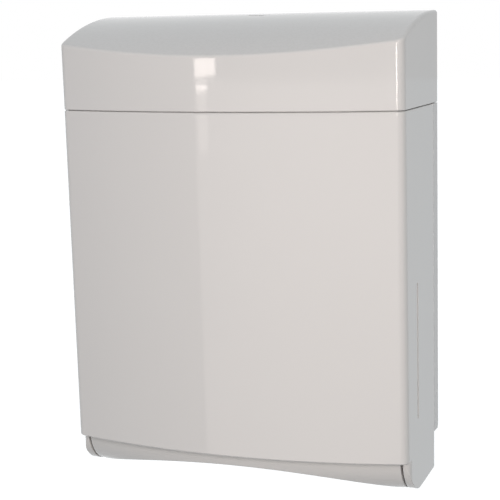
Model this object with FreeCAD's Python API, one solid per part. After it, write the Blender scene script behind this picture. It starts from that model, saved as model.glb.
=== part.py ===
import FreeCAD, Part
import math
import os

# A wall-mounted dispenser for folded paper towels, in moulded plastic.
# Millimetres. X runs to the right, the wall is the plane Y = 0 and the front
# faces -Y. While the pieces are made, heights are measured from a base line
# just above the underside of the door. export() then moves the origin to the
# centre of the wall screw pattern, on the wall.

Vector = FreeCAD.Vector
X_AXIS = Vector(1, 0, 0)
Y_AXIS = Vector(0, 1, 0)
Z_AXIS = Vector(0, 0, 1)

# Outer form
width = 280.0
height = 365.0                # of the top above the base line
underside = -3.1              # lowest line of the door's cheeks, from the base line
heel_rise = 3.0               # the cheeks' underside rises this much from there to the rear
corner_depth = 96.0           # depth of the front corners, half-way up
front_bow = 19.5              # how far the middle of the front stands before its corners
front_lean = 2.5              # extra depth at the top; the bottom has as much less
corner_radius = 7.0
wall = 2.8                    # moulded wall of the door and the hood

# Seam between the hood and the door
hood_height = 71.6            # from the seam to the top
seam_gap = 0.5
seam_chamfer = 0.4            # on the hood's lower edge
door_top_round = 1.4          # on the door's upper edge

# Hood
crown_radius = 236.0          # the top falls to the front in one arc
crown_flat = 3.0              # level strip along the wall
crease_radius = 2.5
key_slot_width = 14.0
key_slot_thickness = 3.2
key_slot_depth = 26.0         # distance of the slot from the wall
key_pad_drop = 22.0           # from the top down to the latch's pad
lip_gap = 0.8                 # between the hood's lip and the inside of the door
lip_thickness = 1.6
lip_drop = 7.0                # how far the lip hangs below the seam
lip_root = 3.6                # height of the lip's joint with the hood's wall
hood_flange_reach = 15.0
hood_flange_thickness = 2.5
hood_flange_rise = 4.1        # the flange starts this far above the seam
hood_flange_height = 54.5
hood_screw_inset = 7.5        # from each end of the flange

# Door
panel_bottom = 25.4           # lower edge of the front panel
panel_edge_chamfer = 0.8
cheek_width = 5.7             # width of each cheek, seen from the front
cheek_radius = 7.0
chin_setback = 7.3            # chin and cheeks stand this far behind the panel's face
roll_radius = 31.5            # the chin and the cheeks roll under on this radius
slot_width = 3.2              # refill slot in each side
slot_depth = 63.0
slot_bottom = 53.7
slot_top = 160.7
top_rib_drop = 31.4           # from the seam down to the rib
top_rib_reach = 5.0
top_rib_thickness = 1.8
rear_bead_reach = 1.4
rear_bead_depth = 6.0
rear_bead_rise = 10.0         # the bead starts this far above the rim's lower end
rear_bead_lip_gap = 3.0       # and ends this far below the hood's lip

# Back plate
rim_depth = 12.6              # visible strip along the wall
rim_bottom = 29.2
rim_round = 3.5
rim_gap = 0.5                 # between the rim and the door's rear edges
plate_gap = 0.5               # between the back plate and the walls beside it
web_front = 5.0               # distance of the web's face from the wall
web_thickness = 2.5
plate_bottom = 2.2
rib_thickness = 2.4
wall_screw_spacing_x = 190.0
wall_screw_spacing_z = 200.0
wall_screw_drop = 2.5         # the pattern's centre lies this far below half the height
wall_screw_radius = 2.6
wall_screw_head_radius = 5.0
pad_radius = 9.0
boss_height = 7.0
boss_radius = 4.2

# Hinge
hinge_depth = 20.0            # distance of the hinge axis from the wall
hinge_height = 9.0
pin_radius = 2.5
pin_head_radius = 4.0
pin_head_thickness = 1.8
lug_thickness = 8.0
lug_radius = 6.6
lug_shoulder = 8.0            # how far the lug's root rises above its nose
clip_thickness = 0.7
clip_radius = 4.6
clip_groove_radius = 2.0
clip_gap = 0.1
bush_length = 12.0
bush_radius = 4.0
bush_flange_radius = 5.6
bush_flange_thickness = 1.2
hinge_boss_length = 16.8
hinge_boss_radius = 6.5
hinge_gusset_reach = 5.0      # in front of the hinge boss
hinge_gusset_width = 8.0      # along the door's side
running_clearance = 0.06      # pins in their moving bores
fixed_clearance = 0.02        # pins, bushes and shanks in their own body
washer_gap = 0.4
stop_reach = 2.5
stop_half_thickness = 1.5
stop_inset = 1.6              # from the inner end of the hinge boss
stop_width = 5.0
stop_gap = 0.3
stop_block_height = 5.0
stop_block_reach = 8.2

# Towel tray
tray_slit = 1.8               # open gap between the chin and each cheek
tray_wall = 2.6
floor_top = 30.2
chin_top = 41.0
arch_height = 15.2            # lower edge of the chin, at the middle
arch_end_height = -2.0        # and at its ends
chin_hook = 22.5              # how far back the chin's wall reaches as it rolls under
outlet_depth = 54.0
outlet_centre = 54.0          # distance of the outlet's middle from the wall
outlet_lip_drop = 6.5
outlet_lip_round = 1.2        # on the lip's lower edge
outlet_rim_round = 1.7        # on its upper edge
skirt_rear = 34.0             # the side skirts start this far from the wall
tray_gap = 0.2                # between the tray and the web
tray_rear_bottom = 6.0
tray_lug_gap = 5.0            # between the tray's rear skirt and the hinge lugs
tray_screw_x = (30.0, 82.0)
tray_screw_height = 15.0
tray_rib_bottom = 14.0
tray_screw_bore_end = 0.6     # wall left behind the tray screws
buffer_x = 92.0
buffer_height = 36.0
buffer_stem_radius = 1.9
buffer_head_radius = 4.0
buffer_clearance = 0.35       # left between a buffer and the closed door
buffer_stem_length = 5.0
buffer_bead_radius = 2.6
buffer_bead_length = 1.4

# Towel guides
guide_side_gap = 3.9          # between a guide and the inside of the door
guide_thickness = 2.0
guide_reach = 78.0
guide_floor_gap = 0.4
guide_top_drop = 9.4          # from the seam down to the guide's top
guide_flare = 1.6
guide_flange = 3.2
guide_slot_width = 9.0
guide_tab_places = (0.14, 0.5, 0.86)   # along the guide's height
guide_tab_width = 16.0
tab_clearance = 0.3
tab_hook = 1.6
tab_hook_thickness = 1.7

# Latch
latch_pivot_depth = 62.0
latch_pivot_rise = 7.5        # above the bracket's floor
latch_pin_radius = 2.0
latch_pin_head_radius = 3.4
latch_pin_head_thickness = 1.4
latch_pin_tail = 2.0          # past the clip
lever_width = 10.0
lever_hub_radius = 6.0
lever_arm_height = 7.0
lever_bevel = 2.0
lever_neck = 4.0              # half the rear arm's thickness under the pad
nose_bite = 3.4               # how far the nose reaches below the catch's top face
nose_thickness = 4.5
latch_gap = 0.3
pad_width = 24.0
pad_thickness = 3.0
pad_length = 16.0
bracket_thickness = 1.5
bracket_side_gap = 1.0
bracket_flange_width = 60.0
bracket_seam_gap = 2.1        # the bracket starts this far above the seam
bracket_height = 33.5
bracket_nose = 9.0            # in front of the pivot
bracket_shoulder = 12.0       # of the sides, at full height
bracket_ear = 7.0             # of the sides above the pivot
bracket_ear_front = 4.0       # and at their front end
bracket_corner = 3.0
bracket_screw_x = 23.0
bracket_screw_inset = 7.5     # from the bracket's lower and upper edges
spring_depth = 41.0
spring_radius = 3.6
spring_wire_radius = 0.5
spring_turns = 6
spring_length = 22.0
spring_seat_margin = 1.5      # of the lever's flat around the spring
spring_peg_length = 2.5
spring_peg_gap = 0.4          # between a peg and the spring's inside
spring_end_gap = 0.05         # above and below the spring
latch_clip_thickness = 0.6
latch_clip_radius = 3.6
latch_groove_radius = 1.5

# Catch on the door
catch_half_width = 20.0
catch_thickness = 1.5
catch_drop = 7.4              # from the seam down to the shelf's top face
catch_leg_height = 19.0
catch_boss_length = 8.0
catch_boss_radius = 4.2
catch_screw_x = 13.0
catch_screw_drop = 12.5       # from the shelf's top face
catch_slot_half_width = 7.0
catch_slot_length = 9.0
catch_bar = 6.0
catch_leg_clear = 2.0

# Screws
screw_shank_radius = 1.6
screw_head_radius = 3.2
screw_head_height = 2.2
screw_recess = 1.0
screw_hole_clearance = 0.3
screw_length = 8.0
plate_screw_length = 6.0

# Turned forms are made this much too wide on each side, in degrees, then cut off
sweep_margin = 4.0

# Worked-out sizes
half_width = width / 2
side_inner = half_width - wall
front_radius = (half_width ** 2 + front_bow ** 2) / (2 * front_bow)
seam_height = height - hood_height
door_top = seam_height - seam_gap / 2
hood_bottom = seam_height + seam_gap / 2
door_rear = rim_depth + rim_gap
roll_height = underside + roll_radius
skin_middle = half_width - wall / 2
cheek_inner = half_width - cheek_width
chin_half_width = cheek_inner - tray_slit
plate_half_width = side_inner - plate_gap
web_back = web_front - web_thickness
boss_front = web_front + boss_height
wall_screw_centre = height / 2 - wall_screw_drop
boss_start = side_inner - hinge_boss_length
bush_start = boss_start - bush_flange_thickness
clip_inner = bush_start - washer_gap - clip_thickness
lug_outer = clip_inner - clip_gap
lug_inner = lug_outer - lug_thickness
stop_inner = boss_start + stop_inset
tray_rear_half_width = lug_inner - tray_lug_gap
outlet_length = 2 * (tray_rear_half_width - rib_thickness - tray_wall)
guide_outer = side_inner - guide_side_gap
guide_inner = guide_outer - guide_thickness
guide_bottom = floor_top + guide_floor_gap
guide_top = seam_height - guide_top_drop
guide_tab_heights = [guide_bottom + place * (guide_top - guide_bottom) for place in guide_tab_places]
hood_flange_bottom = seam_height + hood_flange_rise
hood_flange_top = hood_flange_bottom + hood_flange_height
hood_screw_x = side_inner - hood_flange_reach / 2
hood_screw_heights = (hood_flange_bottom + hood_screw_inset, hood_flange_top - hood_screw_inset)
top_rib_height = seam_height - top_rib_drop
bracket_bottom = seam_height + bracket_seam_gap
bracket_top = bracket_bottom + bracket_height
bracket_screw_heights = (bracket_bottom + bracket_screw_inset, bracket_top - bracket_screw_inset)
spring_bottom = bracket_bottom + bracket_thickness
spring_top = spring_bottom + spring_length
spring_peg_radius = spring_radius - 2 * spring_wire_radius - spring_peg_gap
latch_pivot_height = bracket_bottom + latch_pivot_rise
pad_height = height - key_pad_drop
catch_shelf_top = seam_height - catch_drop


def box(x0, x1, y0, y1, z0, z1):
    return Part.makeBox(x1 - x0, y1 - y0, z1 - z0, Vector(x0, y0, z0))


def rod(radius, start, direction, length):
    return Part.makeCylinder(radius, length, start, direction)


def rod_x(radius, x0, x1, y, z):
    return rod(radius, Vector(x0, y, z), X_AXIS, x1 - x0)


def rod_y(radius, y0, y1, x, z):
    return rod(radius, Vector(x, y0, z), Y_AXIS, y1 - y0)


def rod_z(radius, z0, z1, x, y):
    return rod(radius, Vector(x, y, z0), Z_AXIS, z1 - z0)


def fuse(shapes):
    whole = shapes[0].multiFuse(shapes[1:])
    return whole.removeSplitter()


def prism_x(points, x0, x1):
    """Extrude an outline of (y, z) points along X."""
    corners = [Vector(x0, y, z) for y, z in points]
    face = Part.Face(Part.makePolygon(corners + corners[:1]))
    return face.extrude(Vector(x1 - x0, 0, 0))


def mirrored(shape):
    return shape.mirror(Vector(0, 0, 0), X_AXIS)


def both_sides(shape):
    return [shape, mirrored(shape)]


def front_depth(z):
    """Depth of the front corners at a height, with the front's lean."""
    return corner_depth + front_lean * (2 * z / height - 1)


def bow_centre(z):
    """Y of the centre of the front's bow at a height."""
    return front_radius - front_depth(z) - front_bow


def front_y(x, z, inset=0.0):
    """Y of the front face, or of a face set in from it, at one point."""
    return bow_centre(z) - math.sqrt((front_radius - inset) ** 2 - x ** 2)


def plan_wire(z, inset, rear):
    """Outline of the body seen from above: two sides, two rounded corners and the bow."""
    half = half_width - inset
    bow = front_radius - inset
    radius = max(corner_radius - inset, 0.5)
    centre = bow_centre(z)
    corner_x = half - radius
    corner_y = centre - math.sqrt((bow - radius) ** 2 - corner_x ** 2)
    turn = math.atan2(corner_x, centre - corner_y)
    bow_end = Vector(bow * math.sin(turn), centre - bow * math.cos(turn), z)
    middle = (math.pi / 2 + turn) / 2
    corner_middle = Vector(corner_x + radius * math.sin(middle), corner_y - radius * math.cos(middle), z)
    side_end = Vector(half, corner_y, z)
    rear_end = Vector(half, rear, z)

    def other(point):
        return Vector(-point.x, point.y, point.z)

    bow_middle = Vector(0, centre - bow, z)
    edges = [
        Part.LineSegment(other(rear_end), other(side_end)).toShape(),
        Part.Arc(other(side_end), other(corner_middle), other(bow_end)).toShape(),
        Part.Arc(other(bow_end), bow_middle, bow_end).toShape(),
        Part.Arc(bow_end, corner_middle, side_end).toShape(),
        Part.LineSegment(side_end, rear_end).toShape(),
        Part.LineSegment(rear_end, other(rear_end)).toShape(),
    ]
    return Part.Wire(edges)


def plan_solid(sections, rear):
    """Solid through outlines given as (height, inset) pairs."""
    wires = [plan_wire(z, inset, rear) for z, inset in sections]
    return Part.makeLoft(wires, True, True)


def rolled_solid(inset, half, bottom, top, rear):
    """Body that follows the bow and rolls under along its front, cut off between two heights."""
    centre_y = bow_centre(panel_bottom)
    front = front_y(0, panel_bottom, chin_setback + inset)
    radius = roll_radius - inset
    roll_y = front + radius
    lowest = roll_height - radius
    slant = math.sqrt(0.5) * radius
    shoulder = Vector(0, front, roll_height)
    middle = Vector(0, roll_y - slant, roll_height - slant)
    foot = Vector(0, roll_y, lowest)
    crown = Vector(0, front, height)
    axis_top = Vector(0, centre_y, height)
    axis_bottom = Vector(0, centre_y, lowest)
    edges = [
        Part.LineSegment(axis_bottom, foot),
        Part.Arc(foot, middle, shoulder),
        Part.LineSegment(shoulder, crown),
        Part.LineSegment(crown, axis_top),
        Part.LineSegment(axis_top, axis_bottom),
    ]
    profile = Part.Face(Part.Wire([edge.toShape() for edge in edges]))
    half_sweep = math.degrees(math.asin(half_width / (front_radius - chin_setback))) + sweep_margin
    profile.rotate(Vector(0, centre_y, 0), Z_AXIS, -half_sweep)
    turned = profile.revolve(Vector(0, centre_y, 0), Z_AXIS, 2 * half_sweep)
    limits = box(-half, half, -corner_depth - 2 * front_bow, rear, bottom, top)
    return turned.common(limits)


def screw(length):
    """Pan-head screw along +Z, its head's seat at the origin and its head above it."""
    head = rod_z(screw_head_radius, 0, screw_head_height, 0, 0)
    crown = [edge for edge in head.Edges if edge.BoundBox.ZMin > screw_head_height - 0.01]
    head = head.makeFillet(screw_head_height * 0.45, crown)
    shank = rod_z(screw_shank_radius, -length, 0, 0, 0)
    tip = [edge for edge in shank.Edges if edge.BoundBox.ZMax < -length + 0.01]
    shank = shank.makeChamfer(screw_shank_radius * 0.4, tip)
    body = head.fuse(shank).removeSplitter()
    arm = screw_head_radius * 0.6
    slit = screw_head_radius * 0.14
    for wide, narrow in ((arm, slit), (slit, arm)):
        cross = box(-wide, wide, -narrow, narrow, screw_head_height - screw_recess, screw_head_height + 1)
        body = body.cut(cross)
    return body


def screw_at(x, y, z, length):
    """Screw driven towards the wall, its head facing the front."""
    piece = screw(length)
    piece.rotate(Vector(0, 0, 0), X_AXIS, 90)
    piece.translate(Vector(x, y, z))
    return piece


def front_screw_at(x, y, z, length):
    """Screw driven towards the front, its head facing the wall."""
    piece = screw(length)
    piece.rotate(Vector(0, 0, 0), X_AXIS, -90)
    piece.translate(Vector(x, y, z))
    return piece


def stadium_x(x0, x1, y, z0, z1, slot):
    """Slot with round ends, cut along X and standing upright."""
    radius = slot / 2
    body = box(x0, x1, y - radius, y + radius, z0 + radius, z1 - radius)
    ends = [rod_x(radius, x0, x1, y, z) for z in (z0 + radius, z1 - radius)]
    return fuse([body] + ends)


def stadium_z(half_length, radius, y, z0, z1):
    """Slot with round ends, cut along Z and lying along X."""
    body = box(-half_length + radius, half_length - radius, y - radius, y + radius, z0, z1)
    ends = [rod_z(radius, z0, z1, x, y) for x in (-half_length + radius, half_length - radius)]
    return fuse([body] + ends)


def door():
    base = panel_bottom
    upper = plan_solid(
        [(base, panel_edge_chamfer), (base + panel_edge_chamfer, 0), (door_top, 0)], -door_rear)
    top_edges = [edge for edge in upper.Edges
                 if edge.BoundBox.ZMin > door_top - 0.01 and edge.BoundBox.YMin < -door_rear - 0.01]
    upper = upper.makeFillet(door_top_round, top_edges)
    cheek = rolled_cheek(0, cheek_inner, base + wall / 2, -door_rear)
    body = fuse([upper] + both_sides(cheek))

    upper_room = plan_solid([(base + wall, wall), (door_top + 1, wall)], 0)
    cheek_room = rolled_cheek(wall, cheek_inner - 1, base + wall + 1, 0)
    behind_panel = plan_solid([(base - 1, wall), (base + wall + 1, wall)], 0)
    behind_panel = behind_panel.common(box(-cheek_inner, cheek_inner, -width, 1, 0, height))
    for hollow in [upper_room, behind_panel] + both_sides(cheek_room):
        body = body.cut(hollow)
    body = body.removeSplitter()

    extras = []
    rib_inset = wall + top_rib_reach
    rib_top = top_rib_height + top_rib_thickness
    rib_outer = plan_solid([(top_rib_height, wall / 2), (rib_top, wall / 2)], -door_rear)
    rib_inner = plan_solid([(top_rib_height - 1, rib_inset), (rib_top + 1, rib_inset)], 0)
    front_only = box(-half_width + corner_radius + wall, half_width - corner_radius - wall, -width,
                     -corner_depth + corner_radius + top_rib_reach, 0, height)
    extras.append(rib_outer.cut(rib_inner).common(front_only))
    for side in (-1, 1):
        x = side * catch_screw_x
        z = catch_shelf_top - catch_screw_drop
        extras.append(rod_y(catch_boss_radius, front_y(x, z, wall / 2), catch_leg_front(), x, z))
    bosses = []
    boss = rod_x(hinge_boss_radius, boss_start, skin_middle, -hinge_depth, hinge_height)
    fin_bottom = hinge_height - hinge_boss_radius - stop_reach
    fin = box(stop_inner, stop_inner + stop_width, -hinge_depth - stop_half_thickness,
              -hinge_depth + stop_half_thickness, fin_bottom, hinge_height)
    gusset = prism_x(
        [(-hinge_depth - hinge_boss_radius - hinge_gusset_reach, hinge_height - rib_thickness / 2),
         (-hinge_depth, hinge_height - rib_thickness / 2),
         (-hinge_depth, hinge_height + rib_thickness / 2),
         (-hinge_depth - hinge_boss_radius - hinge_gusset_reach, hinge_height + rib_thickness / 2)],
        side_inner - hinge_gusset_width, skin_middle)
    bosses.append(fuse([boss, fin, gusset]))
    bead = box(side_inner - rear_bead_reach, skin_middle, -door_rear - rear_bead_depth, -door_rear,
               rim_bottom + rear_bead_rise, seam_height - lip_drop - rear_bead_lip_gap)
    bosses.append(bead)
    for piece in bosses:
        extras.extend(both_sides(piece))
    body = fuse([body] + extras)

    hole_z = catch_shelf_top - catch_screw_drop
    for side in (-1, 1):
        body = body.cut(rod_y(screw_shank_radius + fixed_clearance, catch_leg_front() - catch_boss_length,
                              catch_leg_front() + 1, side * catch_screw_x, hole_z))
    bore = rod_x(bush_radius + fixed_clearance, boss_start - 1, boss_start + bush_length,
                 -hinge_depth, hinge_height)
    slot = stadium_x(side_inner - 1, half_width + 1, -slot_depth, slot_bottom, slot_top, slot_width)
    for hole in both_sides(bore) + both_sides(slot):
        body = body.cut(hole)
    return body


def rolled_cheek(inset, inner_x, top, rear):
    """Right-hand cheek: rolled under at the front, with a rounded upright corner and a straight underside."""
    outer_x = half_width - inset
    radius = roll_radius - inset
    front = front_y(half_width - cheek_radius, panel_bottom, chin_setback) + inset
    roll_y = front + radius
    lowest = roll_height - radius
    slant = math.sqrt(0.5) * radius
    heel = lowest + heel_rise * (rear - roll_y) / (-door_rear - roll_y)

    def at(y, z):
        return Vector(inner_x, y, z)

    outline = [
        Part.Arc(at(front, roll_height), at(roll_y - slant, roll_height - slant), at(roll_y, lowest)),
        Part.LineSegment(at(roll_y, lowest), at(rear, heel)),
        Part.LineSegment(at(rear, heel), at(rear, height)),
        Part.LineSegment(at(rear, height), at(front, height)),
        Part.LineSegment(at(front, height), at(front, roll_height)),
    ]
    side = Part.Face(Part.Wire([edge.toShape() for edge in outline]))
    form = side.extrude(Vector(outer_x - inner_x, 0, 0))
    block = box(inner_x - cheek_radius, outer_x, front, rear, underside - 1, top)
    corner = [edge for edge in block.Edges
              if edge.BoundBox.XMin > outer_x - 0.01 and edge.BoundBox.YMax < front + 0.01]
    return form.common(block.makeFillet(cheek_radius - inset, corner))


def catch_leg_front():
    """Y of the face of the catch's leg that lies on the door's bosses."""
    return front_y(0, catch_shelf_top, wall) + catch_boss_length


def hood_outer():
    front_limit = -(corner_depth + front_bow + 20)
    fall = crown_radius - math.sqrt(crown_radius ** 2 - (-front_limit - crown_flat) ** 2)
    half_run = (-front_limit - crown_flat) / 2
    half_fall = crown_radius - math.sqrt(crown_radius ** 2 - half_run ** 2)
    start = Vector(-width, -crown_flat, height)
    middle = Vector(-width, -crown_flat - half_run, height - half_fall)
    end = Vector(-width, front_limit, height - fall)
    below = Vector(-width, front_limit, 0)
    foot = Vector(-width, 0, 0)
    top = Vector(-width, 0, height)
    edges = [
        Part.LineSegment(top, start).toShape(),
        Part.Arc(start, middle, end).toShape(),
        Part.LineSegment(end, below).toShape(),
        Part.LineSegment(below, foot).toShape(),
        Part.LineSegment(foot, top).toShape(),
    ]
    return Part.Face(Part.Wire(edges)).extrude(Vector(2 * width, 0, 0))


def crown_room():
    """Space under the hood's top: the crown's form, set in by the wall."""
    form = hood_outer()
    form.translate(Vector(0, 0, -wall))
    return form


def hood():
    body = plan_solid(
        [(hood_bottom, seam_chamfer), (hood_bottom + seam_chamfer, 0), (height + 5, 0)], 0)
    body = body.common(hood_outer())
    crease = []
    for edge in body.Edges:
        bounds = edge.BoundBox
        high = bounds.ZMin > (seam_height + height) / 2 - 15
        across = bounds.ZLength < (height - seam_height) * 0.6
        if high and across and bounds.YMin < -crown_flat - 0.1 and not is_rear(edge):
            crease.append(edge)
    body = body.makeFillet(crease_radius, crease)
    room = plan_solid([(hood_bottom - 1, wall), (height + 5, wall)], 1).common(crown_room_forward())
    body = body.cut(room)

    lip_outer = wall + lip_gap
    lip_inner = lip_outer + lip_thickness
    lip_bottom = seam_height - lip_drop
    root_top = hood_bottom + lip_root
    ring = plan_solid([(lip_bottom, lip_outer), (root_top, lip_outer)], -door_rear)
    root = plan_solid([(hood_bottom + seam_chamfer, wall / 2), (root_top, wall / 2)], -door_rear)
    hollow = plan_solid([(lip_bottom - 1, lip_inner), (root_top + 1, lip_inner)], 1)
    pieces = [body, ring.fuse(root).cut(hollow)]
    flange = box(side_inner - hood_flange_reach, skin_middle, -boss_front - hood_flange_thickness,
                 -boss_front, hood_flange_bottom, hood_flange_top)
    pieces.extend(both_sides(flange))
    body = fuse(pieces)
    for z in hood_screw_heights:
        hole = rod_y(screw_shank_radius + screw_hole_clearance, -boss_front - hood_flange_thickness - 1,
                     -boss_front + 1, hood_screw_x, z)
        for cutter in both_sides(hole):
            body = body.cut(cutter)
    key = box(-key_slot_width / 2, key_slot_width / 2, -key_slot_depth - key_slot_thickness / 2,
              -key_slot_depth + key_slot_thickness / 2, pad_height, height + 1)
    return body.cut(key)


def is_rear(edge):
    return edge.BoundBox.YMin > -0.01


def crown_room_forward():
    """The space under the crown, open to the wall."""
    form = crown_room()
    rear = box(-width, width, -1, 2, 0, height - wall)
    return form.fuse(rear)


def back_plate():
    low = box(-plate_half_width, plate_half_width, -web_front, -web_back, plate_bottom, rim_bottom + 1)
    plate_top = height - wall - plate_gap
    high = box(-plate_half_width, plate_half_width, -web_front, -web_back, seam_height - 1, plate_top)
    middle = box(-half_width, half_width, -web_front, -web_back, rim_bottom, door_top)
    rim = box(side_inner, half_width, -rim_depth, 0, rim_bottom, door_top)
    corner = [edge for edge in rim.Edges
              if edge.BoundBox.YMin > -0.01 and edge.BoundBox.ZMax < rim_bottom + 0.01]
    rim = rim.makeFillet(rim_round, corner)
    outside_round = box(side_inner, half_width, -rim_depth, 0, rim_bottom, rim_bottom + rim_round).cut(rim)
    pieces = [low, high, middle] + both_sides(rim)

    # Ribs on the back, which stand on the wall
    ribs = [
        box(-plate_half_width, plate_half_width, -web_front, 0, plate_bottom, plate_bottom + rib_thickness),
        box(-plate_half_width, plate_half_width, -web_front, 0, plate_top - rib_thickness, plate_top),
        box(-plate_half_width, plate_half_width, -web_front, 0, wall_screw_centre - rib_thickness / 2,
            wall_screw_centre + rib_thickness / 2),
    ]
    for side in (-1, 1):
        x = side * (plate_half_width - rib_thickness / 2)
        ribs.append(box(x - rib_thickness / 2, x + rib_thickness / 2, -web_front, 0, plate_bottom, plate_top))
        x = side * wall_screw_spacing_x / 4
        ribs.append(box(x - rib_thickness / 2, x + rib_thickness / 2, -web_front, 0, plate_bottom, plate_top))
    pieces.extend(ribs)
    for x, z in wall_screw_places():
        pieces.append(rod_y(pad_radius, -web_front, 0, x, z))

    # Bosses on the front
    for x, z in hood_screw_places() + bracket_screw_places():
        pieces.append(rod_y(boss_radius, -boss_front, -web_back, x, z))
    for x in tray_screw_x:
        for side in (-1, 1):
            pieces.append(rod_y(boss_radius, -web_front, 0, side * x, tray_screw_height))

    # Hinge lugs and the stops that end the door's travel
    lug = prism_x(
        [(-web_back, plate_bottom), (-hinge_depth, hinge_height - lug_radius),
         (-hinge_depth, hinge_height + lug_radius), (-web_back, hinge_height + lug_radius + lug_shoulder)],
        lug_inner, lug_outer)
    nose = rod_x(lug_radius, lug_inner, lug_outer, -hinge_depth, hinge_height)
    block_bottom = hinge_height + stop_half_thickness + stop_gap
    block = box(stop_inner, stop_inner + stop_width, -web_front - stop_block_reach, -web_back,
                block_bottom, block_bottom + stop_block_height)
    pieces.extend(both_sides(fuse([lug, nose])))
    pieces.extend(both_sides(block))
    body = fuse(pieces)

    for cutter in both_sides(outside_round):
        body = body.cut(cutter)
    for x, z in wall_screw_places():
        hole = rod_y(wall_screw_radius, -web_front - 1, 1, x, z)
        sink_depth = wall_screw_head_radius - wall_screw_radius
        sink = Part.makeCone(wall_screw_head_radius, wall_screw_radius, sink_depth,
                             Vector(x, -web_front, z), Y_AXIS)
        body = body.cut(hole).cut(sink)
    for x, z in hood_screw_places() + bracket_screw_places():
        body = body.cut(rod_y(screw_shank_radius + fixed_clearance, -boss_front - 1, -web_back - 1, x, z))
    for x in tray_screw_x:
        for side in (-1, 1):
            body = body.cut(rod_y(screw_shank_radius + fixed_clearance, -web_front - 1, -tray_screw_bore_end,
                                  side * x, tray_screw_height))
    bore = rod_x(pin_radius + fixed_clearance, lug_inner - 1, lug_outer + 1, -hinge_depth, hinge_height)
    for cutter in both_sides(bore):
        body = body.cut(cutter)
    for z in guide_tab_heights:
        slot = box(guide_inner - tab_clearance, guide_outer + tab_clearance, -web_front - 1, 1,
                   z - guide_tab_width / 2 - tab_clearance, z + guide_tab_width / 2 + tab_clearance)
        recess = box(guide_inner - tab_clearance, guide_outer + tab_hook + tab_clearance, -web_back, 1,
                     z - guide_tab_width / 2 - tab_clearance, z + guide_tab_width / 2 + tab_clearance)
        for cutter in both_sides(slot) + both_sides(recess):
            body = body.cut(cutter)
    return body


def wall_screw_places():
    x = wall_screw_spacing_x / 2
    z = wall_screw_spacing_z / 2
    return [(i * x, wall_screw_centre + k * z) for i in (-1, 1) for k in (-1, 1)]


def hood_screw_places():
    return [(side * hood_screw_x, z) for side in (-1, 1) for z in hood_screw_heights]


def bracket_screw_places():
    return [(side * bracket_screw_x, z) for side in (-1, 1) for z in bracket_screw_heights]


def towel_tray():
    shell = rolled_solid(0, chin_half_width, underside, chin_top, -skirt_rear)
    inside_half = chin_half_width - tray_wall
    inner = rolled_solid(tray_wall, inside_half, underside, chin_top + 1, 0)
    hook_end = front_y(chin_half_width, panel_bottom, chin_setback) + chin_hook
    opening = box(-inside_half, inside_half, hook_end, 0, underside - 1, roll_height)
    chin = shell.cut(inner).cut(opening)
    above_floor = box(-width, width, skirt_cut(), 1, floor_top, chin_top + 1)
    chin = chin.cut(above_floor)

    floor_form = rolled_solid(0, chin_half_width, floor_top - tray_wall, floor_top, -web_front - tray_gap)
    rear_y = -web_front - tray_gap
    rear = box(-tray_rear_half_width, tray_rear_half_width, rear_y - tray_wall, rear_y,
               tray_rear_bottom, floor_top)
    lip_bottom = floor_top - tray_wall - outlet_lip_drop
    lip = stadium_z(outlet_length / 2 + tray_wall, outlet_depth / 2 + tray_wall, -outlet_centre,
                    lip_bottom, floor_top)
    low_edges = [edge for edge in lip.Edges if edge.BoundBox.ZMax < lip_bottom + 0.01]
    lip = lip.makeFillet(outlet_lip_round, low_edges)
    pieces = [chin, floor_form, rear, lip]
    within = rolled_solid(tray_wall / 2, chin_half_width, tray_rib_bottom, floor_top - tray_wall / 2, rear_y)
    rib = within.common(box(tray_rear_half_width - rib_thickness, tray_rear_half_width, -width, 0, 0, height))
    pieces.extend(both_sides(rib))
    body = fuse(pieces)

    outlet = stadium_z(outlet_length / 2, outlet_depth / 2, -outlet_centre, -1, floor_top + 1)
    body = body.cut(outlet)
    rim_edges = [edge for edge in body.Edges if is_outlet_top(edge)]
    body = body.makeFillet(outlet_rim_round, rim_edges)
    body = body.cut(arch_cutter())
    for x in tray_screw_x:
        for side in (-1, 1):
            hole = rod_y(screw_shank_radius + screw_hole_clearance, rear_y - tray_wall - 1, rear_y + 1,
                         side * x, tray_screw_height)
            body = body.cut(hole)
    for side in (-1, 1):
        body = body.cut(on_chin(side, rod_y(buffer_stem_radius + fixed_clearance, -10, 10, 0, 0)))
    return body


def skirt_cut():
    """Y behind which nothing of the tray stands above its floor."""
    return front_y(chin_half_width, panel_bottom, chin_setback + tray_wall)


def is_outlet_top(edge):
    bounds = edge.BoundBox
    at_top = bounds.ZMin > floor_top - 0.01 and bounds.ZMax < floor_top + 0.01
    near_x = max(abs(bounds.XMin), abs(bounds.XMax)) < outlet_length / 2 + 0.01
    near_y = bounds.YMin > -outlet_centre - outlet_depth / 2 - 0.01 and \
        bounds.YMax < -outlet_centre + outlet_depth / 2 + 0.01
    return at_top and near_x and near_y


def arch_cutter():
    """Everything below the chin's arched lower edge."""
    rise = arch_height - arch_end_height
    radius = (chin_half_width ** 2 + rise ** 2) / (2 * rise)
    disc = rod_y(radius, -width, -skirt_rear + 1, 0, arch_height - radius)
    below = box(-width, width, -width, -skirt_rear + 1, underside - 1, arch_end_height)
    return disc.fuse(below)


def on_chin(side, shape):
    """Place a shape made along Y at the origin on the chin's face, square to it."""
    x = side * buffer_x
    radius = front_radius - chin_setback
    y = front_y(x, panel_bottom, chin_setback)
    piece = shape.copy()
    piece.rotate(Vector(0, 0, 0), Z_AXIS, math.degrees(math.asin(x / radius)))
    piece.translate(Vector(x, y, buffer_height))
    return piece


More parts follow.
